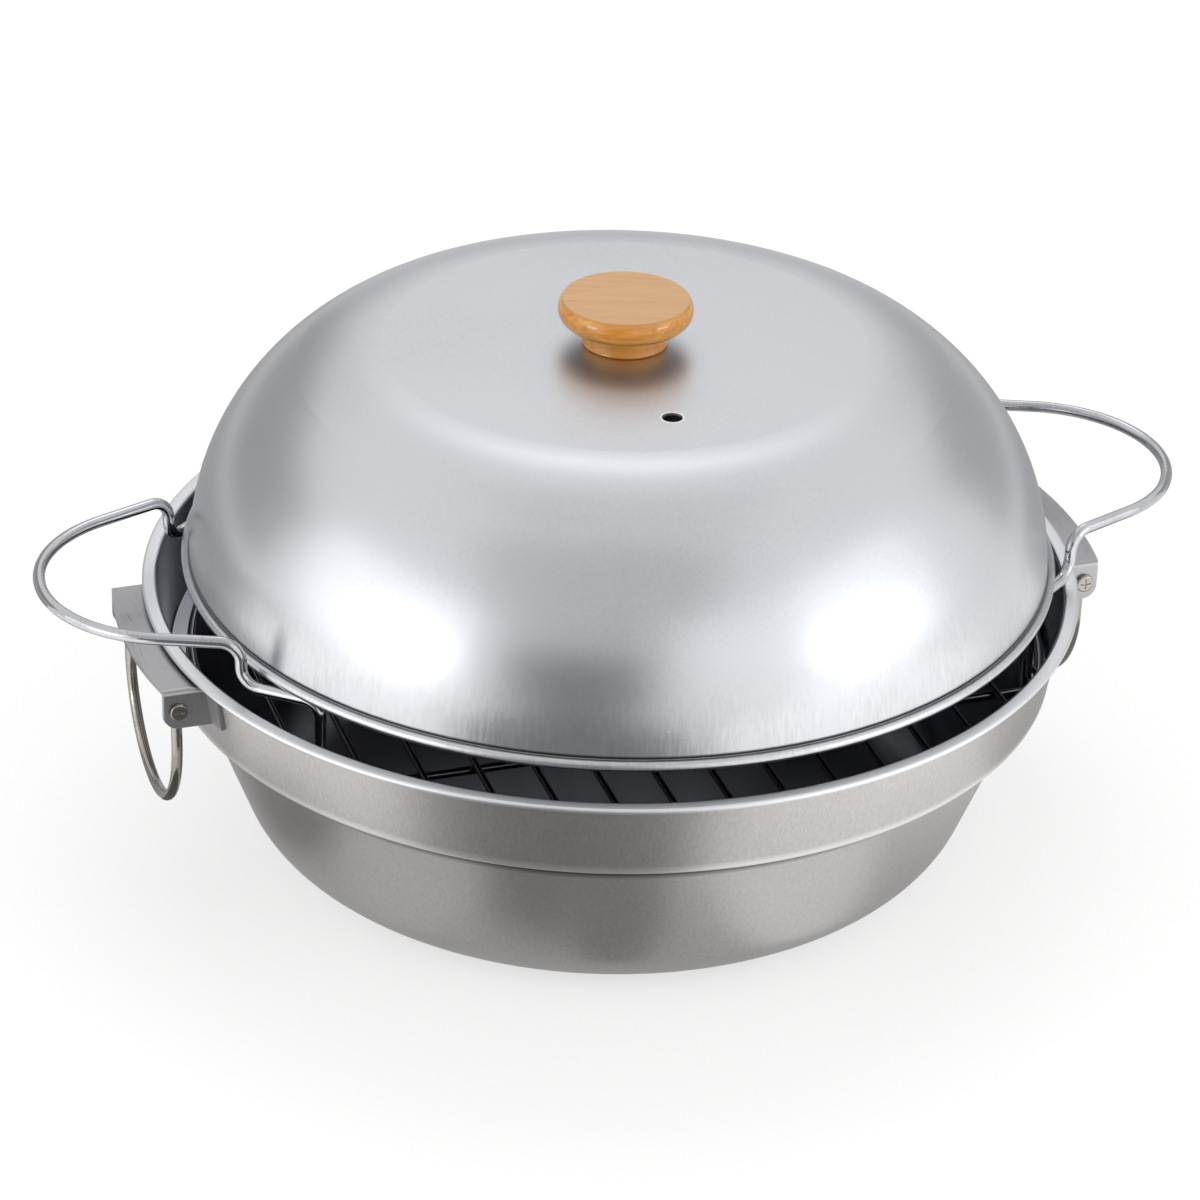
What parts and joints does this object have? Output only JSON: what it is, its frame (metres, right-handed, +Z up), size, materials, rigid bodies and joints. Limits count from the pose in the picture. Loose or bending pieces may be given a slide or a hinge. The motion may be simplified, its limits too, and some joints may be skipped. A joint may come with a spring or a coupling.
{
  "type": "stovetop smoker",
  "caption": "Round steel smoking pan with a stepped wall and swinging side rings, a wire rack with bent wire carrying loops, and a domed lift-off lid with a vent and a wooden knob.",
  "frame": {"origin": "the middle of the pan's flat bottom", "axes": "+Z up, +X through both carrying loops and both side brackets"},
  "size_m": [0.3524, 0.28, 0.1702],
  "materials": {
    "pan_steel": "matte brushed stainless sheet, slightly warm grey",
    "lid_steel": "satin spun stainless sheet, cool grey",
    "bracket_steel": "satin stainless sheet",
    "bail_wire": "half bright stainless wire",
    "rack_wire": "polished stainless wire",
    "knob_wood": "honey coloured hardwood under clear lacquer",
    "fastener_steel": "plain zinc plated steel"
  },
  "bodies": {
    "pan": {"bowl": "pan_steel", "bracket_left": "bracket_steel", "bracket_right": "bracket_steel"},
    "ring_left": {"bail_left": "bail_wire"},
    "ring_right": {"bail_right": "bail_wire"},
    "rack": {"rack_ring": "rack_wire", "rack_cross_front": "rack_wire", "rack_cross_back": "rack_wire", "rack_handle_left": "rack_wire", "rack_handle_right": "rack_wire", "rack_rod_01": "rack_wire", "rack_rod_02": "rack_wire", "rack_rod_03": "rack_wire", "rack_rod_04": "rack_wire", "rack_rod_05": "rack_wire", "rack_rod_06": "rack_wire", "rack_rod_07": "rack_wire", "rack_rod_08": "rack_wire", "rack_rod_09": "rack_wire", "rack_rod_10": "rack_wire", "rack_rod_11": "rack_wire", "rack_rod_12": "rack_wire", "rack_rod_13": "rack_wire", "rack_rod_14": "rack_wire", "rack_rod_15": "rack_wire"},
    "lid": {"lid_shell": "lid_steel", "knob": "knob_wood", "knob_screw": "fastener_steel", "knob_washer": "fastener_steel"}
  },
  "joints": [
    {"name": "ring_left_swing", "type": "hinge", "parent": "pan", "child": "ring_left", "pos_m": [-0.141, 0, 0.0728], "axis": [0, 1, 0], "range_deg": [-24, 112]},
    {"name": "ring_right_swing", "type": "hinge", "parent": "pan", "child": "ring_right", "pos_m": [0.141, 0, 0.0728], "axis": [0, -1, 0], "range_deg": [-24, 112]},
    {"name": "rack_lift", "type": "slide", "parent": "pan", "child": "rack", "axis": [0, 0, 1], "range_m": [0, 0.12]},
    {"name": "lid_lift", "type": "slide", "parent": "rack", "child": "lid", "axis": [0, 0, 1], "range_m": [0, 0.12]}
  ]
}
